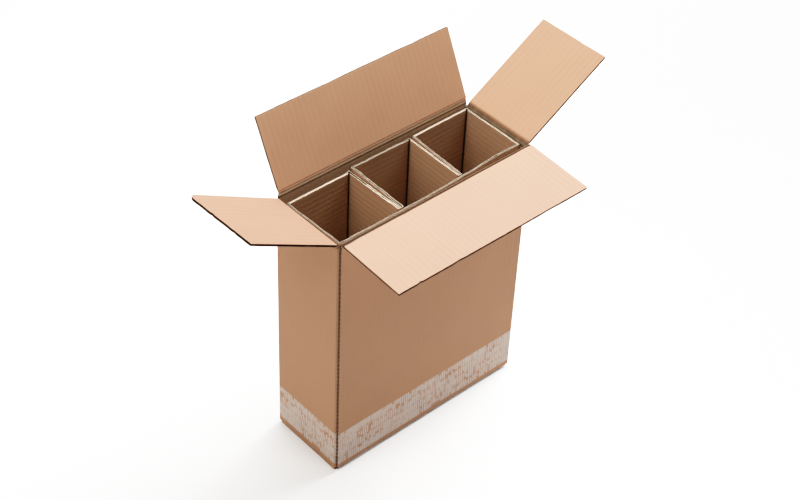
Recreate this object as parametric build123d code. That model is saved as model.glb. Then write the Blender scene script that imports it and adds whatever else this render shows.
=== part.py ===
from build123d import *
import os
from math import cos, radians, sin, tan

# Shipping carton for three bottles, standing with its four top flaps open, and
# the folded divider that makes three cells in it. Millimetres, +Z up. The long
# side lies along X, the front is -Y and the left end is -X. The origin is on the
# surface that the carton stands on, at the middle of its walls.

# Board: two liners with the fluted sheet between them. The hollow flutes are
# open where the sheet is cut, and are modelled to these depths.
LINER = 0.5
FLUTED_SHEET = 0.35
FLUTE_PITCH = 7.9
FLUTE_TIP = 1.4
FLUTE_END_DEPTH = 14.0
CUT_EDGE_DEPTH = 1.8
RIM_GROOVE_DEPTH = 2.4

# Carton, outside
LENGTH = 312.0
DEPTH = 120.0
BOARD = 3.8
SHORT_CREASE_HEIGHT = 385.0
CORNER_RADIUS = 2.4

# Flaps. Each flap that closes over another one folds a board higher.
LONG_FLAP = 102.0
SHORT_FLAP = 150.5
LONG_FLAP_INSET = 2.6
SHORT_FLAP_SLACK = 1.2
STACK_CLEARANCE = 0.2
SLOT_DEPTH = 3.0
FRONT_REST_ANGLE = 93.8
BACK_REST_ANGLE = 26.0
LEFT_REST_ANGLE = 60.8
RIGHT_REST_ANGLE = 59.0

# Creases: the fold line lies a little inside the outer liner, and the crushed
# board tapers to it from both faces.
CREASE_DEPTH = 1.5
CREASE_GAP = 0.2
OPEN_LIMIT_ANGLE = 150.0

# Bottom. The long flaps are inside. The short flaps are folded last, and meet
# in the middle.
BOTTOM_LONG_FLAP = 104.0
BOTTOM_MEETING_GAP = 2.0
BOTTOM_FOLD_RADIUS = 2.5
BOTTOM_NOTCH = 1.2

# Glued joint at the front left corner: the tab is part of the left end wall.
TAB_WIDTH = 35.0
TAB_END_GAP = 9.0
TAB_TAPER = 10.0
JOINT_SETBACK = 1.5
JOINT_FOLD_RADIUS = 1.1

# Divider: one sheet folded into a ring, with two pleats between the cells.
DIVIDER_BOARD = 3.0
CELLS = 3
DIVIDER_END_PLAY = 8.4
DIVIDER_SIDE_PLAY = 15.8
DIVIDER_FOLD_RADIUS = 1.6
PLEAT_FOLD_RADIUS = 1.2
DIVIDER_TURN_ANGLE = 1.0
DIVIDER_SHIFT = (1.9, 2.0)
RIM_CLEARANCE = 0.4
PLEAT_GAP_BACK = 4.0
PLEAT_GAP_FRONT = 0.6
PLEAT_TIP_GAP = 0.6
PLEAT_LEAN = ((0.3, -1.7), (3.0, -1.8))
FRONT_BULGE = 1.6
FRONT_BOW = 3.4
FRONT_BOW_OFFSET = 12.0

CORE = BOARD - 2 * LINER
LEVEL_STEP = BOARD + STACK_CLEARANCE
INNER_CREASE = BOARD - CREASE_DEPTH
OUTER_TAPER = CREASE_DEPTH * tan(radians(OPEN_LIMIT_ANGLE / 2))
CREASE_HEIGHT = {
    "left": SHORT_CREASE_HEIGHT,
    "right": SHORT_CREASE_HEIGHT,
    "front": SHORT_CREASE_HEIGHT + LEVEL_STEP,
    "back": SHORT_CREASE_HEIGHT + 2 * LEVEL_STEP,
}
REST_ANGLE = {
    "front": FRONT_REST_ANGLE,
    "back": BACK_REST_ANGLE,
    "left": LEFT_REST_ANGLE,
    "right": RIGHT_REST_ANGLE,
}
BOTTOM_LEVEL = {"left": 0, "right": 0, "front": 1, "back": 2}
OUTWARD = {
    "left": Vector(-1, 0, 0),
    "right": Vector(1, 0, 0),
    "front": Vector(0, -1, 0),
    "back": Vector(0, 1, 0),
}
SHORT_FLAP_INSET = BOARD + SHORT_FLAP_SLACK
SLOT_FLOOR = SHORT_CREASE_HEIGHT - SLOT_DEPTH
NOTCH_TOP = BOARD + BOTTOM_NOTCH
FLOOR_TOP = 3 * BOARD
BOTTOM_SHORT_FLAP = (LENGTH - BOTTOM_MEETING_GAP) / 2


def is_long(side):
    return side in ("front", "back")


def half_span(side):
    """Distance from the carton's middle to this wall's outer face."""
    return (DEPTH if is_long(side) else LENGTH) / 2


def flap_width(side):
    if is_long(side):
        return LENGTH - 2 * LONG_FLAP_INSET
    return DEPTH - 2 * SHORT_FLAP_INSET


def top_flap_length(side):
    """The long flaps end on one straight cut of the sheet, so the one that
    folds higher is shorter."""
    if not is_long(side):
        return SHORT_FLAP
    return LONG_FLAP - (CREASE_HEIGHT[side] - CREASE_HEIGHT["front"])


def section_plane(side, height=0.0):
    """A plane across the wall: local X is outward and local Y is up."""
    outward = OUTWARD[side]
    return Plane(origin=(0, 0, height), x_dir=outward, z_dir=outward.cross(Vector(0, 0, 1)))


def extrude_across(side, profile, width):
    return extrude(profile, amount=width / 2, both=True)


def panel(side):
    """One wall with its bottom flap, as the folded sheet's section drawn
    through the flap's free edge, the fold and the tapered top crease."""
    outer = half_span(side)
    inner = outer - BOARD
    underside = BOTTOM_LEVEL[side] * BOARD
    flap = BOTTOM_LONG_FLAP if is_long(side) else BOTTOM_SHORT_FLAP
    crease = CREASE_HEIGHT[side] - CREASE_GAP
    fold = (outer, underside)
    outline = Polyline(
        (outer - flap, underside),
        fold,
        (outer, crease - OUTER_TAPER),
        (outer - CREASE_DEPTH, crease),
        (inner, crease - INNER_CREASE),
        (inner, underside + BOARD),
        (outer - flap, underside + BOARD),
        close=True,
    )
    profile = make_face(outline)
    corner = profile.vertices().sort_by_distance(fold + (0,))[0]
    profile = fillet(corner, BOTTOM_FOLD_RADIUS)
    return extrude_across(side, section_plane(side) * profile, flap_width(side))


def corner_column(x_side, y_side):
    """The rounded upright fold between two walls, from the bottom notch up to
    the floor of the slot between their top flaps."""
    size_x = BOARD
    size_y = SHORT_FLAP_INSET
    centre = (x_side * (LENGTH - size_x) / 2, y_side * (DEPTH - size_y) / 2)
    plan = Pos(*centre) * Rectangle(size_x, size_y)
    outer = (x_side * LENGTH / 2, y_side * DEPTH / 2, 0)
    plan = fillet(plan.vertices().sort_by_distance(outer)[0], CORNER_RADIUS)
    return Pos(0, 0, NOTCH_TOP) * extrude(plan, amount=SLOT_FLOOR - NOTCH_TOP)


def glued_corner():
    """The front left corner: the end wall's fold dips behind the front wall,
    whose raw cut edge stands in front of it."""
    height = SLOT_FLOOR - NOTCH_TOP
    left = -LENGTH / 2
    front = -DEPTH / 2
    tab_face = front + BOARD
    fold_length = SHORT_FLAP_INSET - BOARD
    fold = Pos(left + BOARD / 2, tab_face + fold_length / 2) * Rectangle(BOARD, fold_length)
    corner = fold.vertices().sort_by_distance((left, tab_face, 0))[0]
    fold = fillet(corner, JOINT_FOLD_RADIUS)
    edge_length = BOARD - JOINT_SETBACK
    edge = Pos(left + JOINT_SETBACK + edge_length / 2, front + BOARD / 2) * Rectangle(
        edge_length, BOARD
    )
    return Pos(0, 0, NOTCH_TOP) * extrude(fold + edge, amount=height)


def glue_tab():
    """The tab behind the front wall, with its ends cut on a slant."""
    low = FLOOR_TOP + TAB_END_GAP
    high = SLOT_FLOOR - TAB_END_GAP
    start = -LENGTH / 2 + BOARD
    end = start + TAB_WIDTH
    outline = Polyline(
        (start, low), (end, low + TAB_TAPER), (end, high - TAB_TAPER), (start, high), close=True
    )
    plane = Plane(origin=(0, -DEPTH / 2 + BOARD, 0), x_dir=(1, 0, 0), z_dir=(0, -1, 0))
    return extrude(plane * make_face(outline), amount=-BOARD)


def joint_edge_hollow():
    """What is open in the front wall's raw cut edge at the glued corner."""
    height = SLOT_FLOOR - NOTCH_TOP
    x = -LENGTH / 2 + JOINT_SETBACK + CUT_EDGE_DEPTH / 2
    y = -(DEPTH - BOARD) / 2
    return Pos(x, y, NOTCH_TOP + height / 2) * Box(CUT_EDGE_DEPTH, CORE, height)


def bottom_edge_hollows(side):
    """What is open in both side edges of an outer bottom flap."""
    length = BOTTOM_SHORT_FLAP - BOARD
    x = OUTWARD[side].X * (LENGTH / 2 - BOARD - length / 2)
    y = (flap_width(side) - CUT_EDGE_DEPTH) / 2
    hollow = Box(length, CUT_EDGE_DEPTH, CORE)
    return [Pos(x, y, BOARD / 2) * hollow, Pos(x, -y, BOARD / 2) * hollow]


def carton_body():
    body = corner_column(-1, 1) + corner_column(1, 1) + corner_column(1, -1)
    body += glued_corner()
    for side in OUTWARD:
        body += panel(side)
    body += glue_tab()
    body -= joint_edge_hollow()
    for side in ("left", "right"):
        body -= bottom_edge_hollows(side)
    return body


def open_flute(x, on_inner_liner):
    """The section of one hollow flute, with X across the flutes and Y from the
    board's inner face. It narrows away from the liner that it lies on."""
    rise = CORE - FLUTED_SHEET
    base = LINER if on_inner_liner else BOARD - LINER
    tip = base + rise if on_inner_liner else base - rise
    half_base = (FLUTE_PITCH - FLUTE_TIP - FLUTED_SHEET) / 2
    half_tip = FLUTE_TIP / 2
    return make_face(Polyline(
        (x - half_base, base), (x + half_base, base), (x + half_tip, tip), (x - half_tip, tip),
        close=True,
    ))


def flap_hollows(side, length):
    """What is open in the cut edges of an upright flap: the ends of the flutes
    along its free edge, and the flute cut lengthwise down each side."""
    width = flap_width(side)
    inner_face = OUTWARD[side] * (half_span(side) - BOARD)
    top = inner_face + Vector(0, 0, CREASE_HEIGHT[side] + length)
    free_edge = Plane(origin=top, x_dir=section_plane(side).z_dir, z_dir=(0, 0, 1))
    half_row = (width - FLUTE_PITCH) / 2 - CUT_EDGE_DEPTH
    count = int(half_row / (FLUTE_PITCH / 2))
    hollows = [
        extrude(free_edge * open_flute(i * FLUTE_PITCH / 2, i % 2 == 1), amount=-FLUTE_END_DEPTH)
        for i in range(-count, count + 1)
    ]
    x = (width - CUT_EDGE_DEPTH) / 2
    for place in (Pos(x, BOARD / 2), Pos(-x, BOARD / 2)):
        cut = place * Rectangle(CUT_EDGE_DEPTH, CORE)
        hollows.append(extrude(free_edge * cut, amount=-(length - 2 * OUTER_TAPER)))
    return hollows


def top_flap(side):
    """A flap drawn upright over its crease, then swung out to where it rests."""
    length = top_flap_length(side)
    profile = make_face(Polyline(
        (0, CREASE_GAP),
        (CREASE_DEPTH, CREASE_GAP + OUTER_TAPER),
        (CREASE_DEPTH, length),
        (-INNER_CREASE, length),
        (-INNER_CREASE, CREASE_GAP + INNER_CREASE),
        close=True,
    ))
    plane = section_plane(side)
    hinge = OUTWARD[side] * (half_span(side) - CREASE_DEPTH)
    hinge = hinge + Vector(0, 0, CREASE_HEIGHT[side])
    flap = Pos(*hinge) * extrude_across(side, plane * profile, flap_width(side))
    flap -= flap_hollows(side, length)
    return flap.rotate(Axis(hinge, plane.z_dir), -REST_ANGLE[side])


DIVIDER_LENGTH = LENGTH - 2 * BOARD - DIVIDER_END_PLAY
DIVIDER_DEPTH = DEPTH - 2 * BOARD - DIVIDER_SIDE_PLAY
DIVIDER_RIM = SHORT_CREASE_HEIGHT - INNER_CREASE - RIM_CLEARANCE
CELL_PITCH = DIVIDER_LENGTH / CELLS


def divider_outline(inset):
    """The ring's outline in plan, drawn in by the given inset. The front
    stretch bulges a little, and bows inward in front of the right cell."""
    x = DIVIDER_LENGTH / 2 - inset
    back = DIVIDER_DEPTH / 2 - inset
    front = -DIVIDER_DEPTH / 2 + inset
    front_edge = Spline(
        (-x, front),
        (-CELL_PITCH / 2, front - FRONT_BULGE),
        (CELL_PITCH / 3, front - FRONT_BULGE),
        (CELL_PITCH + FRONT_BOW_OFFSET, front + FRONT_BOW),
        (x, front),
    )
    rest = Polyline((x, front), (x, back), (-x, back), (-x, front))
    return make_face([front_edge, rest])


def pleat_corners(index, inset, of_gap):
    """The corners of one pleat's wedge in plan, or of the open gap between its
    two layers: back left, back right, front right and front left."""
    lean_back, lean_front = PLEAT_LEAN[index]
    middle = (index - (CELLS - 2) / 2) * CELL_PITCH
    layers = inset if of_gap else DIVIDER_BOARD - inset
    tip = -DIVIDER_DEPTH / 2 + DIVIDER_BOARD + PLEAT_TIP_GAP
    tip += DIVIDER_BOARD - inset if of_gap else inset
    back = DIVIDER_DEPTH / 2
    back_x = middle + lean_back
    front_x = middle + lean_front
    half_back = PLEAT_GAP_BACK / 2 + layers
    half_front = PLEAT_GAP_FRONT / 2 + layers
    return [
        (back_x - half_back, back),
        (back_x + half_back, back),
        (front_x + half_front, tip),
        (front_x - half_front, tip),
    ]


def round_folds(plan, corners, radius):
    nearest = [plan.vertices().sort_by_distance((x, y, 0))[0] for x, y in corners]
    return fillet(nearest, radius)


def divider_plan(inset=0.0):
    """The folded sheet in plan, thinned on both faces by the given inset."""
    plan = divider_outline(inset) - divider_outline(DIVIDER_BOARD - inset)
    mouths = []
    tips = []
    for index in range(CELLS - 1):
        wedge = pleat_corners(index, inset, of_gap=False)
        plan += make_face(Polyline(*wedge, close=True))
        tips += wedge[2:]
    plan = plan & divider_outline(inset)
    for index in range(CELLS - 1):
        gap = pleat_corners(index, inset, of_gap=True)
        plan -= make_face(Polyline(*gap, close=True))
        mouths += [(x, y - inset) for x, y in gap[:2]]
    x, y = DIVIDER_LENGTH / 2 - inset, DIVIDER_DEPTH / 2 - inset
    ring = [(-x, -y), (-x, y), (x, -y), (x, y)]
    plan = round_folds(plan, ring, DIVIDER_FOLD_RADIUS - inset)
    return round_folds(plan, mouths + tips, PLEAT_FOLD_RADIUS - inset)


def bottle_divider():
    """The folded sheet, with the cut flute open along its top edge."""
    height = DIVIDER_RIM - FLOOR_TOP
    sheet = extrude(divider_plan(), amount=height)
    groove = extrude(divider_plan(LINER), amount=-RIM_GROOVE_DEPTH)
    sheet -= Pos(0, 0, height) * groove
    return Pos(*DIVIDER_SHIFT, FLOOR_TOP) * Rot(0, 0, DIVIDER_TURN_ANGLE) * sheet


def main():
    os.makedirs("parts", exist_ok=True)
    nodes = {"carton_body": carton_body(), "bottle_divider": bottle_divider()}
    for side in OUTWARD:
        nodes["flap_" + side] = top_flap(side)
    for name, shape in nodes.items():
        export_step(shape, f"parts/{name}.step")


main()
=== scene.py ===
from math import cos, pi, radians, sin, tan

import bmesh
import bpy
import numpy as np
from mathutils import Matrix, Vector


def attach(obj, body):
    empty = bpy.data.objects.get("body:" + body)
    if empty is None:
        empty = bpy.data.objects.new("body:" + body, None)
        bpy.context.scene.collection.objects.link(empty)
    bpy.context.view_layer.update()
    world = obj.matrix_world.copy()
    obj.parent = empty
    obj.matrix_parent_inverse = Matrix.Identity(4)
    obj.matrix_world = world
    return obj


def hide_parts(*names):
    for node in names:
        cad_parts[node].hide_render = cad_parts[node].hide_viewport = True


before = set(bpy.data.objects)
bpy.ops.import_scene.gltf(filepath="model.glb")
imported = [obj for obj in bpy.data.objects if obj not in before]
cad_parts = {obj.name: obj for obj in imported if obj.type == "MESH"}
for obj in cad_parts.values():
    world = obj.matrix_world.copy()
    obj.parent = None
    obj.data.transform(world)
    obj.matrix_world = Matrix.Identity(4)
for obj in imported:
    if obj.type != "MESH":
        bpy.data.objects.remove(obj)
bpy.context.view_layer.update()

# The dressed bottle carton: every board is two liners and a fluted sheet, built
# as meshes in the CAD part's own places. Lengths are millimetres until the mesh
# is made, then metres.
MM = 0.001

# The carton, as in the CAD part
LENGTH, DEPTH, BOARD = 312.0, 120.0, 3.8
CREASE_HEIGHT = {"left": 385.0, "right": 385.0, "front": 389.0, "back": 393.0}
REST_ANGLE = {"front": 93.8, "back": 26.0, "left": 60.8, "right": 59.0}
FLAP_LENGTH = {"front": 102.0, "back": 98.0, "left": 150.5, "right": 150.5}
FLAP_WIDTH = {"front": 306.8, "back": 306.8, "left": 110.0, "right": 110.0}
SHORT_INSET, LONG_INSET = 5.0, 2.6
BOTTOM_FLAP = {"front": 104.0, "back": 104.0, "left": 155.0, "right": 155.0}
UNDERSIDE = {"left": 0.0, "right": 0.0, "front": 3.8, "back": 7.6}
OUTWARD = {"left": (-1, 0), "right": (1, 0), "front": (0, -1), "back": (0, 1)}
BODY = {side: side + "_flap" for side in OUTWARD}
HALF = {"left": LENGTH / 2, "right": LENGTH / 2, "front": DEPTH / 2, "back": DEPTH / 2}
CREASE_DEPTH, INNER_CREASE, OUTER_TAPER = 1.5, 2.3, 5.6
SLOT_FLOOR, NOTCH_TOP = 382.0, 5.0
BOTTOM_FOLD_RADIUS, CORNER_RADIUS = 2.5, 2.4
TAB_WIDTH, TAB_END_GAP, TAB_SLANT = 35.0, 9.0, 10.0

# The board: its liners, the fluted sheet, the flutes' pitch, and how far a cut
# edge wanders
LINER, MEDIUM, PITCH, ROUGH = 0.5, 0.32, 7.9, 0.16

# The divider
DIVIDER_BOARD, DIVIDER_RIM, FLOOR_TOP = 3.0, 382.3, 11.4
DIVIDER_SIZE = (296.0, 96.6)
DIVIDER_SHIFT, DIVIDER_TURN = (1.9, 2.0), 1.0
PLEAT_LEAN = ((0.3, -1.7), (3.0, -1.8))
DIVIDER_FOLD_RADIUS, PLEAT_FOLD_RADIUS = 1.6, 1.2
PLEAT_HALF_GAPS, PLEAT_TIP_GAP = (2.0, 0.3), 0.6
FRONT_BULGE, FRONT_BOW, FRONT_BOW_OFFSET = 1.6, 3.4, 12.0
# Height of the rim, where the divider's liners part
RIM_HEIGHT = 6.0

# Material slots of every board
FACE, BACK, CUT, CORE = 0, 1, 2, 3
# Edges that turn by more degrees than this are shaded sharp
SHARP_ANGLE = 35

# The printed band, in metres: its height, its rows and its strokes' pitch
BAND_LOW, BAND_HIGH, BAND_ROW, STROKE = 0.0125, 0.0695, 0.01425, 0.0034


def smooth_steps(x):
    x = np.clip(x, 0.0, 1.0)
    return x * x * (3 - 2 * x)


def wander(seed, t, step):
    """Smooth random numbers from -1 to 1 along t, that change over each step."""
    values = np.random.default_rng(seed).uniform(-1, 1, 1024)
    t = np.asarray(t, float) / step + 211.3
    i = np.floor(t).astype(int)
    f = smooth_steps(t - i)
    return values[i % 1024] * (1 - f) + values[(i + 1) % 1024] * f


def wander2(seed, x, y, step):
    """The same over a surface."""
    values = np.random.default_rng(seed).uniform(-1, 1, (64, 64))
    x, y = np.asarray(x, float) / step + 17.7, np.asarray(y, float) / step + 29.1
    i, j = np.floor(x).astype(int), np.floor(y).astype(int)
    f, g = smooth_steps(x - i), smooth_steps(y - j)
    a = values[i % 64, j % 64] * (1 - f) + values[(i + 1) % 64, j % 64] * f
    b = values[i % 64, (j + 1) % 64] * (1 - f) + values[(i + 1) % 64, (j + 1) % 64] * f
    return a * (1 - g) + b * g


def run_length(points):
    """Distance along a line of points, at each of them."""
    return np.concatenate([[0], np.cumsum(np.hypot(*np.diff(points, axis=0).T))])


class Board:
    """Collects the slabs and prisms of one piece and makes its mesh."""

    def __init__(self):
        self.points, self.faces, self.uvs, self.slots = [], [], [], []
        self.rims, self.folds = [], []
        self.count = 0

    def grid_faces(self, index, uv, slot):
        a, b = index[:-1, :-1], index[1:, :-1]
        c, d = index[1:, 1:], index[:-1, 1:]
        quads = np.stack([a, b, c, d], -1).reshape(-1, 4)
        corners = np.stack([uv[:-1, :-1], uv[1:, :-1], uv[1:, 1:], uv[:-1, 1:]], 2)
        self.faces.append(quads)
        self.uvs.append(corners.reshape(-1, 4, 2))
        self.slots.append(np.full(len(quads), slot))

    def slab(self, face, back, uv, slots, rim=None, fold=None, loop=False):
        """A closed slab between two grids of points that match, with the slots
        of its face, back and edges. With loop, the grid's last column joins its
        first."""
        rows, width = face.shape[:2]
        index = np.arange(rows * width).reshape(rows, width) + self.count
        other = index + rows * width
        self.count += 2 * rows * width
        self.points += [face.reshape(-1, 3), back.reshape(-1, 3)]
        for given, kept in ((rim, self.rims), (fold, self.folds)):
            values = np.zeros((rows, width)) if given is None else np.array(given, float)
            kept += [values.reshape(-1), values.reshape(-1)]
        if loop:
            index = np.hstack([index, index[:, :1]])
            other = np.hstack([other, other[:, :1]])
            step = uv[:, -1:] + (uv[:, -1:] - uv[:, -2:-1])
            uv = np.concatenate([uv, step], 1)
        self.grid_faces(index, uv, slots[0])
        self.grid_faces(other[:, ::-1], uv[:, ::-1], slots[1])
        deep = uv + LINER
        self.edge(index[0], other[0], uv[0], deep[0], slots[2])
        self.edge(other[-1], index[-1], deep[-1], uv[-1], slots[2])
        if not loop:
            self.edge(other[:, 0], index[:, 0], deep[:, 0], uv[:, 0], slots[2])
            self.edge(index[:, -1], other[:, -1], uv[:, -1], deep[:, -1], slots[2])

    def edge(self, near, far, uv_near, uv_far, slot):
        self.grid_faces(np.stack([near, far]), np.stack([uv_near, uv_far]), slot)

    def prism(self, plan, low, high, slots=(FACE, CUT)):
        """A closed upright prism on a plan outline."""
        plan = np.asarray(plan, float)
        n = len(plan)
        ring = np.arange(n) + self.count
        self.points += [np.column_stack([plan, np.full(n, z)]) for z in (low, high)]
        self.rims.append(np.zeros(2 * n))
        self.folds.append(np.zeros(2 * n))
        self.count += 2 * n
        along = run_length(plan)
        for i in range(n):
            j = (i + 1) % n
            self.faces.append(np.array([[ring[i], ring[j], ring[j] + n, ring[i] + n]]))
            u0, u1 = along[i], along[j] if j else along[i] + 1
            self.uvs.append(np.array([[[u0, low], [u1, low], [u1, high], [u0, high]]]))
            self.slots.append(np.array([slots[0]]))
        for shift, order in ((0, ring[::-1]), (n, ring)):
            self.faces.append(order + shift)
            self.uvs.append(plan[order - ring[0]])
            self.slots.append(slots[1])

    def make(self, name, body, nodes, materials):
        """Makes the piece's object with its materials, puts it under its body, and hides the CAD nodes
        it stands in for.
        """
        mesh = bpy.data.meshes.new(name)
        points = np.concatenate(self.points) * MM
        faces, uvs, slots = [], [], []
        for f, uv, s in zip(self.faces, self.uvs, self.slots):
            if f.ndim == 1:
                faces.append(f.tolist())
                uvs.append(uv)
                slots.append(int(s))
            else:
                faces += f.tolist()
                uvs.append(uv.reshape(-1, 2))
                slots += s.tolist()
        mesh.from_pydata(points.tolist(), [], faces)
        mesh.uv_layers.new(name="sheet").data.foreach_set(
            "uv", (np.concatenate(uvs) * MM).astype(np.float32).reshape(-1))
        for key, values in (("rim", self.rims), ("fold", self.folds)):
            mesh.attributes.new(key, "FLOAT", "POINT").data.foreach_set(
                "value", np.concatenate(values).astype(np.float32))
        for material in materials:
            mesh.materials.append(material)
        mesh.polygons.foreach_set("material_index", np.array(slots, np.int32))
        work = bmesh.new()
        work.from_mesh(mesh)
        bmesh.ops.recalc_face_normals(work, faces=work.faces)
        work.to_mesh(mesh)
        work.free()
        mesh.polygons.foreach_set("use_smooth", np.ones(len(mesh.polygons), bool))
        mesh.set_sharp_from_angle(angle=radians(SHARP_ANGLE))
        piece = bpy.data.objects.new(name, mesh)
        bpy.context.scene.collection.objects.link(piece)
        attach(piece, body)
        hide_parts(*nodes)


def spaced(start, end, widest, fine_start=0.0, fine_end=0.0):
    """Positions from start to end. Next to an end that has a fine value, they
    begin with that step and grow."""
    def ramp(step):
        out, x = [0.0], step
        while step and step < widest and x < abs(end - start) * 0.4:
            out.append(x)
            step *= 1.7
            x += step
        return np.array(out)
    sign = 1 if end > start else -1
    a, b = start + sign * ramp(fine_start), end - sign * ramp(fine_end)
    n = max(2, int(np.ceil(abs(b[-1] - a[-1]) / widest)) + 1)
    return np.concatenate([a, np.linspace(a[-1], b[-1], n)[1:-1], b[::-1]])


# The inner liner's rise to its full face, as shares of its reach and height
INNER_TAPER = (
    (0.255, 0.255), (0.574, 0.574), (0.81, 0.80), (1.0, 0.93), (1.21, 0.984), (1.53, 1.0))


def crease_rows(inner, end_radius, fold_radius, reach):
    """A liner's section from its rounded end on the hinge axis, up the taper of
    the crushed board to its full face: distance along the sheet, and offset. The
    fold's radius and the taper's reach are for the inner liner alone."""
    if inner:
        turn = np.radians([180, 150, 105, 84, 67, 45])
        radius = np.array([end_radius] * 3 + [fold_radius] * 3)
        start = fold_radius * sin(pi / 4)
        taper = [(start + (reach - start) * s, start + (INNER_CREASE - start) * n)
                 for s, n in INNER_TAPER]
    else:
        turn = np.radians([180, 210, 240, 270, 300, 325, 345])
        radius = end_radius
        taper = [(s, -s * CREASE_DEPTH / OUTER_TAPER) for s in (1.6, 2.8, 4.0, 5.0)]
        taper += [(5.6, -1.44), (6.2, -1.49), (7.0, -CREASE_DEPTH)]
    return np.vstack([np.column_stack([radius * np.cos(turn), radius * np.sin(turn)]), taper])


def normals_2d(points, towards):
    """Unit normals of an open line, each on the side of the point given for it."""
    t = np.gradient(points, axis=0)
    n = np.column_stack([-t[:, 1], t[:, 0]])
    n /= np.linalg.norm(n, axis=1)[:, None]
    side = np.sign(((towards - points) * n).sum(1))
    return n * np.where(side == 0, 1, side)[:, None]


def crease_thickness(distance):
    """How thick a liner is near the crease, where the board is crushed."""
    return np.minimum(0.28 + 0.21 * np.maximum(distance, 0), LINER)


def columns(width):
    """Places across a board: seven to a flute, and some close to its edges."""
    body = np.linspace(-width / 2 + 1.6, width / 2 - 1.6, int(round(width / PITCH * 7)))
    ends = np.array([0.0, 0.25, 0.8])
    return np.concatenate([-width / 2 + ends, body, width / 2 - ends[::-1]])


def liner(board, section, inward, thick, u, v, place, shape, slots, fold):
    """One liner of a board. shape gives the place's shifts along u and along
    the section, the outward offset, and how near each point is to a cut edge.
    fold is the painted shade in each row, or at each point, that darkens creases, gaps and corners where
    shade falls."""
    shift_u, shift_v, offset, rim = shape
    tangent = np.gradient(section, axis=0)
    tangent /= np.linalg.norm(tangent, axis=1)[:, None]

    def points(depth):
        a = section[:, 0, None] + inward[:, 0, None] * depth + tangent[:, 0, None] * shift_v
        b = section[:, 1, None] + inward[:, 1, None] * depth + tangent[:, 1, None] * shift_v
        return place(u[None, :] + shift_u, a, b)

    uv = np.stack(np.broadcast_arrays(u[None, :] + shift_u, v[:, None] + shift_v), -1)
    fold = fold.reshape(len(v), -1) * (0.93 + 0.07 * wander(7, u, 6.0)[None, :])
    board.slab(points(-offset), points(thick[:, None] - offset), uv, slots, rim, fold)


def cut_shape(seed, u, from_end, along, width, open_sides, phase, wave, bow, pinch,
              ease=0.0, wear=(), trim=None):
    """The small shapes of a cut sheet: a ragged edge, the crushed board beside
    it, the washboard of the flutes below the liner, and a slight bow. They are
    the shape that liner takes. open_sides is 1 in the rows whose sides are cut."""
    size = (len(along), len(u))
    U = np.broadcast_to(u[None, :], size)
    E, V, open_sides = (np.broadcast_to(row[:, None], size)
                        for row in (from_end, along, open_sides))
    side = width / 2 - np.abs(U)
    near_end, near_side = np.exp(-E / 0.9), np.exp(-side / 0.7) * open_sides
    jag = 0.55 * wander(seed, U, 3.1) + 0.3 * wander(seed + 1, U, 0.9) + 0.4 * wander(seed + 2, U, 17)
    shift_v = ROUGH * jag * np.exp(-E / 0.5)
    jag = 0.5 * wander(seed + 3, V, 4.0) + 0.3 * wander(seed + 4, V, 1.3) + 0.5 * wander(seed + 5, V, 21)
    shift_u = ROUGH * jag * np.exp(-side / 0.4) * np.sign(U) * open_sides
    crush = pinch * (1 + 0.5 * wander2(seed + 6, U, V, 9)) * np.maximum(near_end, near_side)
    relief = wave * np.cos(2 * pi * (U / PITCH + phase)) * (1 - np.exp(-side / 3))
    relief = relief * smooth_steps((V - 6) / 10) * (1 - np.exp(-E / 3))
    relief = relief * (1 + 0.35 * wander2(seed + 7, U, V, 35))
    lumps = bow * wander2(seed + 8, U, V, 70) * (1 - np.exp(-side / 25)) * smooth_steps(V / 40)
    rim = np.maximum(np.exp(-E / 1.3), np.exp(-side / 1.3) * open_sides)
    for at, deep, half_width in wear:
        shift_v = shift_v - deep * np.exp(-(((U - at) / half_width) ** 2) - E / 3)
    if trim:
        first, last, crushed = trim
        shorter = first + (last - first) * (U / width + 0.5)
        shift_v = shift_v - shorter * (V / (V + E)).clip(0, 1) ** 2
        shift_v = shift_v - crushed * np.exp(-(((U + width / 2) / 5.5) ** 2) - (E / 9) ** 2)
    return shift_u, shift_v, relief + lumps - crush - ease, rim


def fluted_sheet(board, width, length, v, place, seed):
    """The fluted sheet between a flap's liners, as a thin wavy slab."""
    low, high = LINER - CREASE_DEPTH, INNER_CREASE - LINER
    u = np.linspace(-width / 2 + 0.35, width / 2 - 0.35, int(round(width / PITCH * 8)))
    U, V = np.broadcast_arrays(u[None, :], v[:, None])
    middle, swing = (low + high) / 2, (high - low - MEDIUM) / 2 - 0.02
    wave = np.cos(2 * pi * (U / PITCH) + 0.25 * wander(seed, U, 26))
    wave = np.sign(wave) * np.abs(wave) ** 0.85
    V = V + 0.2 * wander(seed + 1, U, 1.7) * (V >= length - 0.6)
    top, under = middle + swing * wave + MEDIUM / 2, middle + swing * wave - MEDIUM / 2
    # In the fluted core's painted-shade colour
    board.slab(place(U, V, top), place(U, V, under), np.stack([U, V], -1), (CORE, CORE, CUT))


# The crease as the inner liners show it. On the flap: how far its taper runs, how strong the painted
# shade is at the fold line, how far it stays that strong, and where it ends. On the wall: the taper, the
# depth below the fold and the strength of a painted shadow line, and how strong the painted shade above
# the line is.
FLAP_FOLD = {"front": (4.4, 1.15, 4.0, 5.0), "back": (2.3, 0.0, 0.0, 1.0),
             "left": (2.6, 0.78, 0.8, 2.6), "right": (4.6, 0.72, 0.5, 6.5)}
WALL_FOLD = {"front": (2.3, 1.5, 0.75, 0.35), "back": (4.3, 5.2, 1.0, 0.05),
             "left": (2.3, 1.5, 0.8, 0.64), "right": (2.3, 5.5, 0.8, 0.84)}
# Radius of the liners' rounded ends on the hinge axis, for a flap and a wall
FLAP_END, WALL_END = 0.6, 0.45
# Radius of the rounded fold of the flap and of the wall, which turns inside it
KNUCKLE = {"front": (0.6, 0.45), "back": (1.9, 1.55), "left": (0.6, 0.45), "right": (0.6, 0.45)}

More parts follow.
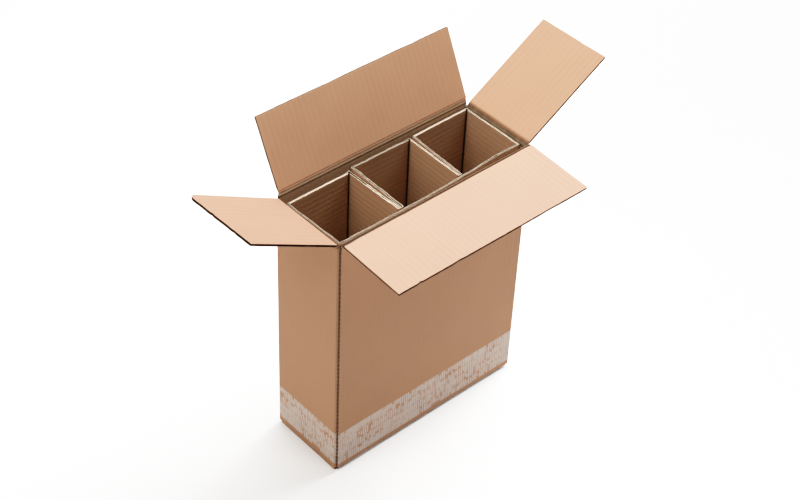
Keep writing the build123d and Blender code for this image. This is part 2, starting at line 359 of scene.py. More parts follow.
# Dents in the flaps' free edges: place along the edge, depth and half width
EDGE_WEAR = {
    "front": ((-120.3, 1.2, 2.2), (-60, 0.5, 6), (85, 0.4, 9)),
    "left": ((-11.9, 1.3, 2.0), (27.0, 0.6, 2.5), (10, 0.5, 7), (-30, 0.4, 6)),
    "back": ((40, 0.4, 12), (-95, 0.5, 8)),
    "right": ((-20, 0.4, 8),),
}
# The flaps' faces lie this much inside the CAD's, so that closed flaps don't meet
FLAP_EASE = 0.2
# How much shorter the sheet was cut, at the ends of its free edge, and how far
# its first corner is crushed in
TRIM = {"left": (0.5, 6.0, 6.0)}


def top_flap(side, materials, seed):
    """A top flap, out of its two liners and the fluted sheet, at rest."""
    width, length, out = FLAP_WIDTH[side], FLAP_LENGTH[side], HALF[side] - CREASE_DEPTH
    ox, oy = OUTWARD[side]
    angle = radians(REST_ANGLE[side])
    hinge = np.array([ox * out, oy * out, CREASE_HEIGHT[side]])
    across = np.array([-oy, ox, 0.0])
    along = np.array([ox * sin(angle), oy * sin(angle), cos(angle)])
    inward = np.array([-ox * cos(angle), -oy * cos(angle), sin(angle)])

    def place(u, s, n):
        u, s, n = np.broadcast_arrays(u, s, n)
        return hinge + u[..., None] * across + s[..., None] * along + n[..., None] * inward

    board = Board()
    u = columns(width)
    taper, dark, dark_to, dark_end = FLAP_FOLD[side]
    for inner in (True, False):
        rows = crease_rows(inner, FLAP_END, KNUCKLE[side][0], taper)
        face = INNER_CREASE if inner else -CREASE_DEPTH
        s = spaced(rows[-1, 0] + 1.5, length, 7.0, 0, 0.3)
        section = np.vstack([rows, np.column_stack([s, np.full(len(s), face)])])
        v = section[:, 0]
        within = np.column_stack([np.maximum(v, 0), 0.12 * v.clip(0, 3)])
        shape = cut_shape(seed + 20 * inner, u, length - v, v, width, np.ones(len(v)),
                          phase=0.0 if inner else 0.5, wave=0.075, bow=0.12, pinch=0.12,
                          ease=FLAP_EASE, wear=EDGE_WEAR[side], trim=TRIM.get(side))
        if inner:
            # Painted shade along the crease, fading out up the flap, on the front along a slant
            slack = 0.35 * wander(seed + 60, u, 14) - (0.8 * u / 150 if side == "front" else 0)
            fold = dark * smooth_steps((dark_end + slack - v[:, None]) / (dark_end - dark_to))
        else:
            # Painted shade on the outer liner next to the crease
            fold = 0.3 * (v < 0.6)
        liner(board, section, normals_2d(section, within), crease_thickness(v), u, v, place, shape,
              (FACE if inner else BACK, CORE, CUT), fold)
    v = np.array([8.5, length - 30, length - 14, length - 5, length - 0.35])
    if side in TRIM:
        v[1:] -= TRIM[side][1] + 1.0
    fluted_sheet(board, width, length, v, place, seed + 50)
    board.make(side + "_flap_board", BODY[side], ["flap_" + side], materials)


def wall_panel(board, side, seed):
    """A wall with its bottom flap: from the top crease down, round the fold at
    the base and in under the carton."""
    width, crease, under = FLAP_WIDTH[side], CREASE_HEIGHT[side], UNDERSIDE[side]
    ox, oy = OUTWARD[side]
    half, reach = HALF[side], HALF[side] - BOTTOM_FLAP[side]

    def place(u, r, z):
        u, r, z = np.broadcast_arrays(u, r, z)
        return np.stack([-oy * u + ox * r, ox * u + oy * r, np.maximum(z, 0)], -1)

    u = columns(width)
    taper, line_at, line_dark, above_dark = WALL_FOLD[side]
    for inner in (True, False):
        rows = crease_rows(inner, WALL_END, KNUCKLE[side][1], taper)
        top = np.column_stack([half - CREASE_DEPTH - rows[:, 1], crease - rows[:, 0]])
        if inner:
            r, floor, round_rows, into, sink = half - BOARD, under + BOARD, 6, 1, -0.4
            z = spaced(top[-1, 1] - 0.6, floor + 0.6, 16.0, 0.6, 3)
            bend = [(r - 0.17, floor + 0.17), (r - 0.6, floor)]
            flat = spaced(r - 3, reach, 14, 0, 0.3)
            upright_from = floor + 0.7
        else:
            r, floor, round_rows, into, sink = half, under, 7, -1, 0.0
            z = spaced(top[-1, 1] - 2, floor + BOTTOM_FOLD_RADIUS + 1, 16.0, 1.5, 3)
            bend = [(r - BOTTOM_FOLD_RADIUS * (1 - cos(a)), floor + BOTTOM_FOLD_RADIUS * (1 + sin(a)))
                    for a in np.radians([0, -22.5, -45, -67.5, -90])]
            flat = spaced(r - 5, reach, 14, 0, 0.3)
            upright_from = floor + BOTTOM_FOLD_RADIUS * 0.5
        section = np.vstack([top, np.column_stack([np.full(len(z), r), z]), bend,
                             np.column_stack([flat, np.full(len(flat), floor)])])
        # A point within the board for each of the section's
        upright = (section[:, 1] > upright_from)[:, None]
        within = section + np.where(upright, [[into, 0]], [[0, -into]])
        within[:len(rows)] = [half - CREASE_DEPTH, crease]
        within[round_rows:len(rows)] = section[round_rows:len(rows)] + [into, sink]
        distance, down = run_length(section), crease - section[:, 1]
        free = ((section[:, 1] > SLOT_FLOOR) | (section[:, 1] < NOTCH_TOP)).astype(float)
        shape = cut_shape(seed + 20 * inner, u, distance[-1] - distance, distance, width, free,
                          phase=0.0 if inner else 0.5, wave=0.055, bow=0.35, pinch=0.35)
        if inner:
            # Painted shade on the inner liner below the crease, and a painted shadow line under it
            fold = np.maximum(above_dark * smooth_steps((line_at + 1 - down) / 2),
                              line_dark * np.exp(-(((down - line_at) / 1.3) ** 2)))
        else:
            # Painted shade on the outer liner next to the crease
            fold = 0.32 * smooth_steps((2.2 - down) / 1.5)
            if side == "front":
                # Painted contact shadow along the front wall's bottom fold, which stands clear of the
                # floor
                fold = np.maximum(fold, 0.8 * smooth_steps((under + 1.8 - section[:, 1]) / 1.2))
        liner(board, section, normals_2d(section, within), crease_thickness(down), u,
              crease - distance, place, shape, (BACK if inner else FACE, CORE, CUT), fold)

    # Between the liners the flutes don't show, so they are one plain slab
    r, floor = half - LINER - 0.05, under + LINER + 0.05
    outer = np.array([(r, crease - 7.0), (r, under + 3.2), (half - 3.2, floor), (reach + 1.2, floor)])
    r, floor = half - BOARD + LINER + 0.05, under + BOARD - LINER - 0.05
    inner = np.array([(r, crease - 7.0), (r, floor),
                      (half - BOARD + LINER, under + BOARD - LINER - 0.06), (reach + 1.2, floor)])
    ends = np.array([[-width / 2 + 1.3, width / 2 - 1.3]])
    uv = np.stack(np.broadcast_arrays(ends, outer[:, 1, None]), -1)
    board.slab(place(ends, outer[:, 0, None], outer[:, 1, None]),
               place(ends, inner[:, 0, None], inner[:, 1, None]), uv, (CORE, CORE, CORE))


def corner_columns(board):
    """The three folded upright corners between the walls."""
    x, y, inner_y = LENGTH / 2, DEPTH / 2, DEPTH / 2 - BOARD + 0.02
    cx, cy = x - CORNER_RADIUS, y - CORNER_RADIUS
    outline = [(cx + CORNER_RADIUS * cos(a), cy + CORNER_RADIUS * sin(a))
               for a in np.radians(np.linspace(0, 90, 7))]
    outline += [(x - LONG_INSET, y), (x - LONG_INSET, inner_y), (x - BOARD, inner_y),
                (x - BOARD, y - SHORT_INSET), (x, y - SHORT_INSET)]
    for sx, sy in ((-1, 1), (1, 1), (1, -1)):
        board.prism([(sx * px, sy * py) for px, py in outline], NOTCH_TOP, SLOT_FLOOR)


def glued_corner(board, seed):
    """The end wall's fold goes behind the front wall, whose raw edge stands in
    front of it, with torn notches and the flutes' dark hollow between."""
    left, front = -LENGTH / 2, -DEPTH / 2
    back_face = front + BOARD
    turn = np.radians(np.linspace(180, 258, 7))
    radius = 2.3
    cx, cy = left + radius, back_face + radius
    end = front + SHORT_INSET + 1.2
    plan = [(left, end)] + [(cx + radius * cos(a), cy + radius * sin(a)) for a in turn]
    plan += [(left + BOARD, back_face + 0.02), (left + BOARD, end)]
    board.prism(plan, NOTCH_TOP, SLOT_FLOOR)
    z = np.arange(NOTCH_TOP, SLOT_FLOOR + 0.01, 0.9)
    saw = np.abs(((z + 1.3 * wander(seed, z, 40)) / 7.0) % 1.0 - 0.5) * 2
    for face, depth, reach in ((front, LINER, 0.0), (back_face, -LINER, 0.25)):
        edge = left + 1.9 + reach + 0.75 * saw ** 1.6 + 0.15 * wander(seed + 3, z, 1.1)
        end = np.full(len(z), left + LONG_INSET + 1.4)
        x = np.stack([end, end - 0.9, (edge + end - 0.9) / 2, edge + 0.15, edge], 1)
        zz = np.broadcast_to(z[:, None], x.shape)
        y = np.full_like(x, face) + np.array([0.02, 0.0, 0.0, -0.03, -0.12]) * np.sign(depth)
        rim = np.broadcast_to(np.array([0, 0.1, 0.4, 0.9, 1.0]), x.shape)
        board.slab(np.stack([x, y, zz], -1), np.stack([x, y + depth, zz], -1),
                   np.stack([x, zz], -1), (FACE, CORE, CUT), rim)
    # The hollow between the liners, in the fluted core's painted-shade colour
    x0, x1, y0, y1 = left + 3.0, left + 4.2, front + LINER, back_face - LINER
    board.prism([(x0, y0), (x1, y0), (x1, y1), (x0, y1)], NOTCH_TOP, SLOT_FLOOR - 0.3, (CORE, CORE))


def glue_tab(board, seed):
    """The tab behind the front wall, with its ends cut on a slant."""
    low, high, start = FLOOR_TOP + TAB_END_GAP, SLOT_FLOOR - TAB_END_GAP, -LENGTH / 2 + BOARD
    x = spaced(start, start + TAB_WIDTH, 1.2, 0, 0.3)
    v = spaced(0, 1, 0.06, 0.002, 0.002)
    slant = TAB_SLANT * (x - start) / TAB_WIDTH
    z = (low + slant)[None, :] + v[:, None] * (high - low - 2 * slant)[None, :]
    x2 = np.broadcast_to(x[None, :], z.shape)
    end = start + TAB_WIDTH - x2
    ragged = 0.15 * wander(seed, z, 3.0) * np.exp(-end / 0.5)
    crush = 0.4 * np.exp(-end / 0.9)
    near = np.full_like(z, -DEPTH / 2 + BOARD)
    uv = np.stack([x2, z], -1)
    for face, back in ((near + BOARD - crush, near + BOARD - LINER - crush),
                       (near + 0.03, near + LINER)):
        board.slab(np.stack([x2 + ragged, face, z], -1), np.stack([x2 + ragged, back, z], -1), uv,
                   (BACK, CORE, CUT))
    mid = (slice(1, -1), slice(0, -4))
    board.slab(np.stack([x2, near + LINER, z], -1)[mid],
               np.stack([x2, near + BOARD - LINER - 0.05, z], -1)[mid], uv[mid], (CORE, CORE, CORE))


def corner_line(points, radii, offset, widest):
    """An offset copy of a closed line of straight runs with rounded corners, and
    each point's station: its corner's index and its share of the run from there.
    Copies at different offsets have points that match one another."""
    p = np.asarray(points, float)
    n = len(p)
    corners = []
    for i in range(n):
        a, b, c = p[i - 1], p[i], p[(i + 1) % n]
        d0, d1 = (b - a) / np.linalg.norm(b - a), (c - b) / np.linalg.norm(c - b)
        n0, n1 = np.array([-d0[1], d0[0]]), np.array([-d1[1], d1[0]])
        bisector = (n0 + n1) / np.linalg.norm(n0 + n1)
        corner = b + bisector * offset / max(0.2, float(bisector @ n0))
        if radii[i] <= 0:
            corners.append(corner[None, :])
            continue
        turn = np.arctan2(d0[0] * d1[1] - d0[1] * d1[0], d0 @ d1)
        radius = max(radii[i] - offset * np.sign(turn) - DIVIDER_BOARD / 2, 0.25)
        reach = radius * tan(abs(turn) / 2)
        start = corner - d0 * reach
        centre = start + n0 * radius * np.sign(turn)
        v = start - centre
        corners.append(np.stack([
            centre + [v[0] * cos(t) - v[1] * sin(t), v[0] * sin(t) + v[1] * cos(t)]
            for t in np.linspace(0, turn, 5)]))
    line, station = [], []
    for i in range(n):
        line.append(corners[i])
        station.append(np.full(len(corners[i]), float(i)))
        a, b = corners[i][-1], corners[(i + 1) % n][0]
        length = np.linalg.norm(p[(i + 1) % n] - p[i])
        f = np.linspace(0, 1, int(np.ceil(length / widest)) + 1)[1:-1]
        if length > 20:
            close = np.array([0.5, 1.1, 2.0, 3.5]) / length
            between = f[(f > close[-1] * 1.1) & (f < 1 - close[-1] * 1.1)]
            f = np.concatenate([close, between, 1 - close[::-1]])
        line.append(a + f[:, None] * (b - a))
        station.append(i + f)
    return np.vstack(line), np.concatenate(station)


def divider_plan():
    """The divider sheet's middle line in plan, seen from above: round the ring
    and in and out of the two pleats. Each corner has its outer fold radius."""
    half = DIVIDER_BOARD / 2
    x, y = DIVIDER_SIZE[0] / 2 - half, DIVIDER_SIZE[1] / 2 - half
    cell = DIVIDER_SIZE[0] / 3
    knots_x = np.array([-x, -cell / 2, cell / 3, cell + FRONT_BOW_OFFSET, x])
    knots_y = np.array([-y, -y - FRONT_BULGE, -y - FRONT_BULGE, -y + FRONT_BOW, -y])
    front = [(t, hermite(knots_x, knots_y, t)) for t in np.linspace(-x, x, 25)[1:-1]]
    points = [(-x, -y), *front, (x, -y), (x, y)]
    radii = [DIVIDER_FOLD_RADIUS] + [0] * len(front) + [DIVIDER_FOLD_RADIUS] * 2
    for index in (1, 0):
        lean_back, lean_front = PLEAT_LEAN[index]
        middle = (index - 0.5) * cell
        tip = -DIVIDER_SIZE[1] / 2 + DIVIDER_BOARD + PLEAT_TIP_GAP + half
        back_gap, front_gap = (gap + half for gap in PLEAT_HALF_GAPS)
        points += [(middle + lean_back + back_gap, y), (middle + lean_front + front_gap, tip),
                   (middle + lean_front - front_gap, tip), (middle + lean_back - back_gap, y)]
        radii += [PLEAT_FOLD_RADIUS] * 4
    return points + [(-x, y)], radii + [DIVIDER_FOLD_RADIUS]


def hermite(xs, ys, t):
    """A smooth curve through a few points."""
    i = int(np.clip(np.searchsorted(xs, t) - 1, 0, len(xs) - 2))
    slope = np.gradient(ys, xs)
    h = xs[i + 1] - xs[i]
    f = (t - xs[i]) / h
    return ((2 * f ** 3 - 3 * f ** 2 + 1) * ys[i] + (f ** 3 - 2 * f ** 2 + f) * h * slope[i]
            + (3 * f ** 2 - 2 * f ** 3) * ys[i + 1] + (f ** 3 - f ** 2) * h * slope[i + 1])


# Where the divider's path turns, as the index of the corner in its plan, and
# which of the corners are folds and which are notched
FRONT_RIGHT, BACK_RIGHT, PLEAT_2, PLEAT_1, BACK_LEFT = 24, 25, 26, 30, 34
FOLDS = (0, *range(FRONT_RIGHT, BACK_LEFT + 1))
NOTCHED = (BACK_RIGHT, PLEAT_2 + 3, PLEAT_1 + 3)
# A notch's depth and width, and the width of the painted shade along a fold line
NOTCH_DEPTH, NOTCH_WIDTH, FOLD_WIDTH = 1.3, 1.3, 1.6


def rim_stretches(station):
    """How wide the liners' cut edges are on the cell side and on the outer side,
    how much painted shade each gets, and how wavy the rim is, from the front left
    corner round the path. Where both are wide, the flutes are crushed shut."""
    stretches = np.array([
        (0, 1.1, 1.5, 0.55, 0.7, 1), (FRONT_RIGHT, 1.4, 1.2, 0.3, 0.5, 1),
        (BACK_RIGHT, 1.95, 1.4, 0, 0.1, 0.6),
        (PLEAT_2, 1.2, 1.5, 0.4, 0.6, 1), (PLEAT_2 + 2, 1.6, 1.4, 0.15, 0.35, 1),
        (PLEAT_2 + 3, 1.3, 1.5, 0.35, 0.65, 1), (PLEAT_1, 1.2, 1.6, 0.4, 0.6, 2),
        (PLEAT_1 + 2, 2.0, 1.6, 0.1, 0.2, 2.4), (PLEAT_1 + 2.65, 1.2, 1.3, 0.2, 0.5, 1.2),
        (PLEAT_1 + 3, 1.9, 1.5, 0, 0.1, 0.6), (BACK_LEFT, 1.1, 1.4, 0.5, 0.75, 1),
    ])
    which = np.searchsorted(stretches[:, 0], station + 1e-6, side="right") - 1
    return stretches[which, 1:].T


# How far the rim has sprung from the folds' own places: along the width at
# places on the length, front and back
SPRUNG_FRONT = ((-148, -98, -49, 0, 49, 68, 90, 110, 148),
                (-1.8, -2.1, -2.1, -1.8, -1.7, -4.0, -4.2, -3.8, -1.6))
SPRUNG_BACK = ((-148, -55, -45, 0, 44, 56, 110, 148), (-1.0, -1.9, 3.2, 2.3, 0.6, 1.1, 1.3, 0.3))


def sprung(x, y):
    """The rim's shift at a place of the divider's plan."""
    back = np.clip(y / DIVIDER_SIZE[1] + 0.5, 0, 1)
    left, right = smooth_steps((-x - 75) / 65), smooth_steps((x - 75) / 65)
    dx = -3.6 * left + (0.2 + 2.3 * back) * right
    from_pleat = x + 51 - 2.0 * back
    dx = dx + 1.2 * np.clip(from_pleat / 3, -1, 1) * (1 - smooth_steps((np.abs(from_pleat) - 6) / 20))
    dy = (1 - back) * np.interp(x, *SPRUNG_FRONT) + back * np.interp(x, *SPRUNG_BACK)
    return np.stack([dx, dy], -1)


def divider(materials, seed):
    """The divider's sheet. Below the rim it is one slab. At the rim its liners
    part, with the dark groove of a flute between them."""
    board = Board()
    points, radii = divider_plan()
    turn = radians(DIVIDER_TURN)
    half, seam = DIVIDER_BOARD / 2, DIVIDER_RIM - RIM_HEIGHT

    def plan_line(offset, widest):
        line, station = corner_line(points, radii, offset, widest)
        x = line[:, 0] * cos(turn) - line[:, 1] * sin(turn) + DIVIDER_SHIFT[0]
        y = line[:, 0] * sin(turn) + line[:, 1] * cos(turn) + DIVIDER_SHIFT[1]
        return np.column_stack([x, y]), station, sprung(*line.T)

    def marks(line, station):
        """How near each point of the line is to a notch, and to a fold."""
        for corners, width in ((NOTCHED, NOTCH_WIDTH), (FOLDS, FOLD_WIDTH)):
            distance = np.full(len(line), 99.0)
            for corner in corners:
                middle = line[np.abs(station - corner) < 1e-9].mean(axis=0)
                distance = np.minimum(distance, np.hypot(*(line - middle).T))
            yield np.exp(-((distance / width) ** 2))

    def rows_at(z, inner, outer, spring, relief):
        """Points of a level line at each height, shifted into the board by the
        relief, and by the spring that grows up to the seam."""
        t = outer - inner
        t /= np.linalg.norm(t, axis=1)[:, None]
        lean = ((z - FLOOR_TOP) / (seam - FLOOR_TOP))[:, None, None]
        xy = inner[None, :, :] + t[None, :, :] * relief[:, :, None] + spring[None] * lean
        return np.concatenate([xy, np.broadcast_to(z[:, None, None], xy.shape[:2] + (1,))], -1)

    z = np.concatenate([np.linspace(FLOOR_TOP, 150, 70)[:-1], np.linspace(150, seam, 172)])
    inner, station, spring = plan_line(half, 12.0)
    outer, _, spring_out = plan_line(-half, 12.0)
    along = run_length((inner + outer) / 2)
    wave = 0.08 * np.cos(2 * pi * z / PITCH) * np.minimum(1, (seam - z) / 8)
    relief = wave[:, None] * (1 + 0.5 * wander2(seed + 30, along[None, :], z[:, None], 45))
    notch, crease = marks(inner, station)
    # Painted shade in the notched corners and along the sheet's folds, the whole way down
    fold = np.broadcast_to(np.maximum(notch, 0.45 * crease), relief.shape)
    uv = np.stack(np.broadcast_arrays(z[:, None], along[None, :]), -1)
    board.slab(rows_at(z, inner, outer, spring, relief + NOTCH_DEPTH * notch),
               rows_at(z, outer, inner, spring_out, relief), uv, (FACE, BACK, CUT),
               fold=fold, loop=True)

    lines = {}
    for offset in (half, half - LINER, LINER - half, -half):
        line, station, spring = plan_line(offset, 1.3)
        lines[offset] = line + spring
    along = run_length((lines[half] + lines[-half]) / 2)
    levels = np.array([0, 2.0, 3.4, 4.6, 5.4, 5.8, RIM_HEIGHT])
    rise = (levels / RIM_HEIGHT)[:, None]
    notch, crease = marks(lines[half], station)
    *widths, shade, shade_out, wavy = rim_stretches(station)
    wavy = wavy * (0.3 * wander(seed + 60, along, 16) + 0.2 * wander(seed + 61, along, 5.5))
    for k, (a, b) in enumerate(((half, -half), (-half, half))):
        ragged = 0.35 * wander(seed + k, along, 5.0) + 0.25 * wander(seed + 7 + k, along, 1.6) - 0.15
        top = seam + levels[:, None] + np.minimum(ragged, 0)[None, :] * rise ** 3
        uneven = 0.2 * wander(seed + 40 + k, along, 2.6) + 0.2 * wander(seed + 42 + k, along, 9)
        width = np.clip(widths[k] * (1 + 0.7 * uneven), 0.4, 2.0)
        thick = LINER + (width - LINER)[None, :] * smooth_steps((levels - 2.0) / 3.4)[:, None]
        lean = 0.12 * rise ** 4 + (1 - 2 * k) * wavy[None, :] * rise ** 2
        across = (lines[b] - lines[a]) / np.linalg.norm(lines[b] - lines[a], axis=1)[:, None]
        cut_in = (1 - k) * NOTCH_DEPTH * notch[None, :]
        near, back = (lines[a][None] + across[None] * (lean + depth)[:, :, None]
                      for depth in (cut_in, np.maximum(thick, cut_in + 0.3)))
        face = np.concatenate([near, top[:, :, None]], -1)
        rear = np.concatenate([back, top[:, :, None]], -1)
        uv = np.stack(np.broadcast_arrays(top, along[None, :]), -1)
        rim = np.broadcast_to(rise ** 8, top.shape)
        # Painted shade in the notches and along the folds, and at the top of each cut edge as its
        # stretch gives
        fold = 0.3 * crease if k else np.maximum(notch, 0.45 * crease)
        fold = np.maximum(fold[None, :], (shade_out if k else shade)[None, :] * rise ** 24)
        board.slab(face, rear, uv, (BACK if k else FACE, CORE, CUT), rim, fold, loop=True)

    # The groove of a flute between the parted liners, in the fluted core's painted-shade colour
    depth = 2.4 + 0.9 * wander(seed + 20, along, 22)
    top = np.stack([np.full(len(along), seam - 1), DIVIDER_RIM - depth])
    groove = [np.concatenate([np.broadcast_to(lines[k], top.shape + (2,)), top[:, :, None]], -1)
              for k in (half - LINER, LINER - half)]
    uv = np.stack(np.broadcast_arrays(top, along[None, :]), -1)
    board.slab(*groove, uv, (CORE, CORE, CORE), loop=True)
    board.make("divider_sheet", "carton", ["bottle_divider"], materials)


# Materials
class Nodes:
    """Short calls to build a node tree."""

    def __init__(self, name):
        self.material = bpy.data.materials.new(name)
        self.material.use_nodes = True
        self.tree = self.material.node_tree
        self.shader = self.tree.nodes["Principled BSDF"]

    def add(self, kind, inputs=(), **settings):
        node = self.tree.nodes.new(kind)
        for key, value in settings.items():
            setattr(node, key, value)
        for key, value in dict(inputs).items():
            self.put(node.inputs[key], value)
        return node

    def put(self, socket, value):
        if isinstance(value, bpy.types.NodeSocket):
            self.tree.links.new(value, socket)
        else:
            socket.default_value = value

    def math(self, operation, *values):
        node = self.add("ShaderNodeMath", operation=operation)
        for i, value in enumerate(values):
            self.put(node.inputs[i], value)
        return node.outputs[0]

    def noise(self, vector, scale, detail=3.0, rough=0.5):
        node = self.add("ShaderNodeTexNoise", {"Vector": vector, "Scale": scale, "Detail": detail,
                                               "Roughness": rough})
        return node.outputs["Fac"]

    def scaled(self, vector, factors):
        node = self.add("ShaderNodeVectorMath", {0: vector, 1: factors}, operation="MULTIPLY")
        return node.outputs[0]

    def mix(self, factor, a, b, blend="MIX"):
        node = self.add("ShaderNodeMix", data_type="RGBA", blend_type=blend)
        self.put(node.inputs["Factor"], factor)
        self.put(node.inputs["A"], a)
        self.put(node.inputs["B"], b)
        return node.outputs["Result"]

    def span(self, value, low, high, to_low=0.0, to_high=1.0):
        node = self.add("ShaderNodeMapRange", {"Value": value, "From Min": low, "From Max": high,
                                               "To Min": to_low, "To Max": to_high})
        return node.outputs["Result"]

    def axis(self, vector, name):
        return self.add("ShaderNodeSeparateXYZ", {0: vector}).outputs[name]

    def position(self):
        return self.add("ShaderNodeTexCoord").outputs["Object"]

    def attribute(self, name):
        return self.add("ShaderNodeAttribute", attribute_name=name).outputs["Fac"]

    def tinted(self, colour, *channels):
        """The colour, with its three channels multiplied."""
        tint = self.add("ShaderNodeCombineColor", dict(enumerate(channels))).outputs[0]
        return self.mix(1.0, (*colour, 1.0), tint, "MULTIPLY")

    def bump(self, strength, distance, height):
        node = self.add("ShaderNodeBump", {"Strength": strength, "Distance": distance,
                                           "Height": height})
        self.put(self.shader.inputs["Normal"], node.outputs["Normal"])


def kraft(name, colour, streaks, printed=False):
    """Kraft liner: clouds, fibres, specks and the faint lines of the flutes, darkened by the painted
    shade of the fold attribute.
    """
    n = Nodes(name)
    uv = n.add("ShaderNodeUVMap", uv_map="sheet").outputs["UV"]
    clouds = n.noise(uv, 14.0, 4.0, 0.55)
    fibres = n.noise(n.scaled(uv, (260.0, 1500.0, 1.0)), 1.0, 3.0, 0.6)
    grain = n.noise(n.scaled(uv, (900.0, 900.0, 1.0)), 1.0, 2.0, 0.6)
    specks = n.add("ShaderNodeTexVoronoi", {"Vector": uv, "Scale": 420.0})
    few = n.span(n.noise(uv, 300.0, 1.0), 0.62, 0.66)
    speck = n.math("MULTIPLY", n.span(specks.outputs["Distance"], 0.08, 0.2, 1.0, 0.0), few)
    lines = n.math("COSINE", n.math("MULTIPLY", n.axis(uv, "X"), 2 * pi / (PITCH * MM)))
    uneven = n.noise(n.scaled(uv, (40.0, 3.0, 1.0)), 1.0, 2.0)
    value = n.math("ADD", n.span(clouds, 0.3, 0.7, -0.035, 0.035),
                   n.span(fibres, 0.25, 0.75, -0.02, 0.02))
    value = n.math("ADD", value, n.span(grain, 0.25, 0.75, -0.02, 0.02))
    value = n.math("ADD", value, n.math("MULTIPLY", lines, n.span(uneven, 0.3, 0.7, 0.0, streaks)))
    value = n.math("ADD", value, n.math("MULTIPLY", speck, -0.12))
    value = n.math("ADD", n.math("ADD", value, 1.0), n.math("MULTIPLY", n.attribute("rim"), 0.04))
    # Painted shade from the fold attribute: darker, and warmer in hue, in creases, gaps and corners
    fold = n.attribute("fold")
    value = n.math("MULTIPLY", value, n.span(fold, 0.0, 1.0, 1.0, 0.1))
    green = n.math("MULTIPLY", value, n.span(fold, 0.0, 1.0, 1.0, 0.96))
    blue = n.math("MULTIPLY", value, n.span(fold, 0.0, 1.0, 1.0, 0.8))
    paper = n.tinted(colour, value, green, blue)
    if printed:
        paper = band_print(n, uv, paper)
    n.put(n.shader.inputs["Base Color"], paper)
    n.shader.inputs["Specular IOR Level"].default_value = 0.28
    n.put(n.shader.inputs["Roughness"], n.span(clouds, 0.3, 0.7, 0.78, 0.88))
    height = n.math("ADD", n.math("MULTIPLY", fibres, 0.6), n.math("MULTIPLY", grain, 0.4))
    n.bump(0.25, 0.0001, height)
    return n.material


def band_print(n, uv, paper):
    """A pale printed band near the base: a thin uneven wash under four rows of
    plain upright strokes."""
    z = n.axis(n.position(), "Z")
    inside = n.math("MULTIPLY", n.math("GREATER_THAN", z, BAND_LOW), n.math("LESS_THAN", z, BAND_HIGH))
    rows = n.math("DIVIDE", n.math("SUBTRACT", z, BAND_LOW), BAND_ROW)
    row, up = n.math("FLOOR", rows), n.math("FRACT", rows)
    steps = n.math("ADD", n.math("DIVIDE", n.axis(uv, "X"), STROKE), n.math("MULTIPLY", row, 13.37))
    stroke, beside = n.math("FLOOR", steps), n.math("FRACT", steps)

    def chance(shift):
        place = n.add("ShaderNodeCombineXYZ", {0: stroke, 1: row, 2: shift}).outputs[0]
        return n.add("ShaderNodeTexWhiteNoise", {"Vector": place}).outputs["Value"]

    mark = n.math("LESS_THAN", beside, n.span(chance(1.5), 0.0, 1.0, 0.5, 0.75))
    low = n.math("GREATER_THAN", up, n.span(chance(2.5), 0.74, 0.84, 0.03, 0.36))
    high = n.math("LESS_THAN", up, n.span(chance(3.5), 0.74, 0.84, 0.97, 0.64))
    shown = n.math("GREATER_THAN", chance(4.5), 0.03)
    ink = n.math("MULTIPLY", n.math("MULTIPLY", mark, shown), n.math("MULTIPLY", low, high))
    mottle = n.noise(n.scaled(uv, (600.0, 450.0, 1.0)), 1.0, 3.0, 0.7)
    wash = n.span(n.noise(uv, 24.0, 1.0), 0.38, 0.62, 0.08, 0.6)
    ink = n.math("MULTIPLY", n.math("MAXIMUM", wash, n.math("MULTIPLY", ink, 0.92)),
                 n.span(mottle, 0.3, 0.6, 0.65, 1.0))
    return n.mix(n.math("MULTIPLY", inside, ink), paper, (*INK, 1.0))


def cut_board(name, colour):
    """The cut edges of the liners: rougher, with loose fibres, and darkened by the painted shade of the
    fold attribute.
    """
    n = Nodes(name)
    where = n.position()
    fibres = n.noise(where, 1300.0, 3.0, 0.65)
    patches = n.noise(where, 160.0, 2.0)
    value = n.math("MULTIPLY", n.span(fibres, 0.25, 0.75, 0.75, 1.2),
                   n.span(patches, 0.3, 0.7, 0.85, 1.12))
    # Painted shade from the fold attribute
    value = n.math("MULTIPLY", value, n.span(n.attribute("fold"), 0.0, 1.0, 1.0, 0.1))
    n.put(n.shader.inputs["Base Color"], n.tinted(colour, value, value, value))
    n.shader.inputs["Roughness"].default_value = 0.92
    n.shader.inputs["Specular IOR Level"].default_value = 0.2
    n.bump(0.5, 0.0002, fibres)
    return n.material


# The print's colour and the flaps' inside, linear as all colours here. The flaps' inside is one liner,
# in a lighter or darker copy on each flap that paints the light and shade it gets.
INK = (0.545, 0.495, 0.46)
INSIDE = {"front": (0.63, 0.378, 0.275), "back": (0.605, 0.36, 0.233),
          "left": (0.56, 0.32, 0.223), "right": (0.525, 0.302, 0.197)}
outside = kraft("kraft_outside", (0.382, 0.214, 0.129), 0.012, printed=True)
inside = kraft("kraft_inside", (0.62, 0.455, 0.325), 0.03)
divider_liner = kraft("divider_liner", (0.472, 0.316, 0.211), 0.1)
# The liners' cut edges are darker in their own colour, and painted darker still for the shade of the
# flutes' hollow. The fluted core, the same paper, is painted dark for the shade in its hollow.
cut = cut_board("cut_liner", (0.21, 0.13, 0.088))
shaded_core = cut_board("fluted_core_painted_shade", (0.13, 0.08, 0.055))
pale_cut = cut_board("divider_cut", (0.75, 0.615, 0.485))

# The pieces
for index, side in enumerate(OUTWARD):
    inside_flap = kraft("kraft_inside_" + side, INSIDE[side], 0.03)
    top_flap(side, [inside_flap, outside, cut, shaded_core], 1000 + 100 * index)
walls = Board()
for index, side in enumerate(OUTWARD):
    wall_panel(walls, side, 2000 + 100 * index)
corner_columns(walls)
glued_corner(walls, 3000)
glue_tab(walls, 3100)
walls.make("carton_walls", "carton", ["carton_body"], [outside, inside, cut, shaded_core])
divider([divider_liner, divider_liner, pale_cut, shaded_core], 4000)

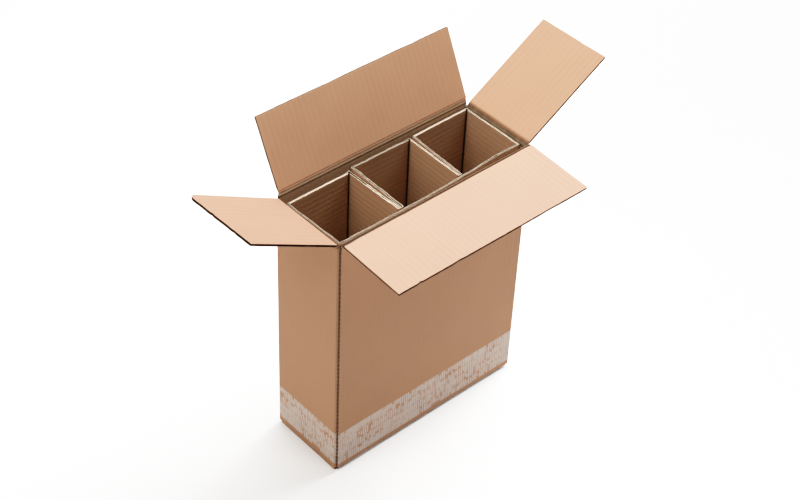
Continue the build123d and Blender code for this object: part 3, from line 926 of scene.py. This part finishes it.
# Floor
floor_mesh = bpy.data.meshes.new("floor")
floor_mesh.from_pydata([(-6, -6, 0), (6, -6, 0), (6, 6, 0), (-6, 6, 0)], [], [(0, 1, 2, 3)])
floor = bpy.data.objects.new("floor", floor_mesh)
bpy.context.scene.collection.objects.link(floor)
paint = Nodes("floor_paint")
clouds = paint.noise(paint.position(), 3.0, 2.0)
shades = paint.mix(clouds, (0.89, 0.89, 0.89, 1), (0.91, 0.91, 0.91, 1))
paint.put(paint.shader.inputs["Base Color"], shades)
paint.shader.inputs["Roughness"].default_value = 0.85
floor_mesh.materials.append(paint.material)

# Camera, at the photograph's place
scene = bpy.context.scene
azimuth, elevation, roll = map(radians, (-43.168, 40.859, 2.695))
back = Vector((sin(azimuth) * cos(elevation), -cos(azimuth) * cos(elevation), sin(elevation)))
right = Vector((cos(azimuth), sin(azimuth), 0))
up = back.cross(right)
camera = bpy.data.objects.new("camera", bpy.data.cameras.new("camera"))
scene.collection.objects.link(camera)
camera.data.lens, camera.data.sensor_width, camera.data.clip_end = 77.132, 36.0, 50.0
turned = Matrix((cos(roll) * right + sin(roll) * up, -sin(roll) * right + cos(roll) * up, back))
camera.matrix_world = Matrix.Translation((-1.13147, -1.20135, 1.68559)) @ turned.transposed().to_4x4()
scene.camera = camera

# Soft studio lights round the carton: azimuth, elevation, power, and whether
# the lamp lights the floor alone. Those that light the left end are warmer.
LAMPS = (
    (0, 88, 1.4, False), (0, 60, 84.0, False), (60, 60, 76.0, False), (180, 60, 39.0, False),
    (180, 28, 25.0, False), (280, 45, 37.0, True), (0, 35, 155.0, True), (180, 35, 33.0, True),
)
LAMP_SIZE, LAMP_DISTANCE, LAMP_AIM, WARM = 1.6, 2.2, Vector((0, 0, 0.25)), (1.0, 0.965, 0.9)
floor_only = bpy.data.collections.new("lit_floor")
floor_only.objects.link(floor)
for around, above, power, on_floor in LAMPS:
    lamp = bpy.data.lights.new(f"softbox_{around}_{above}", "AREA")
    lamp.shape, lamp.size, lamp.energy = "DISK", LAMP_SIZE, power
    if around == 180 and not on_floor:
        lamp.color = WARM
    around, above = radians(around), radians(above)
    towards = Vector((cos(around) * cos(above), sin(around) * cos(above), sin(above)))
    light = bpy.data.objects.new(lamp.name, lamp)
    scene.collection.objects.link(light)
    turn = towards.to_track_quat("Z", "Y").to_matrix().to_4x4()
    light.matrix_world = Matrix.Translation(LAMP_AIM + towards * LAMP_DISTANCE) @ turn
    if on_floor:
        light.light_linking.receiver_collection = floor_only
world = bpy.data.worlds.new("studio")
world.use_nodes = True
world.node_tree.nodes["Background"].inputs["Color"].default_value = (1, 1, 1, 1)
world.node_tree.nodes["Background"].inputs["Strength"].default_value = 0.0
scene.world = world

# Tones: a plain view with a soft shoulder and toe
view = scene.view_settings
view.view_transform = "Standard"
view.look = "None"
view.use_curve_mapping = True
curve = view.curve_mapping
WHITE_LEVEL = 5.0
curve.white_level = (WHITE_LEVEL, WHITE_LEVEL, WHITE_LEVEL)
tone = curve.curves[3]
for x in (0.05, 0.1, 0.2, 0.35, 0.5, 0.7, 0.95, 1.25, 1.6, 2.0, 2.5, 3.1, 3.9):
    tone.points.new(x / WHITE_LEVEL, min(1.0, 1.03 * (1 - np.exp(-x)) ** 1.5))
tone.points[-1].location = (1.0, 1.0)
curve.update()
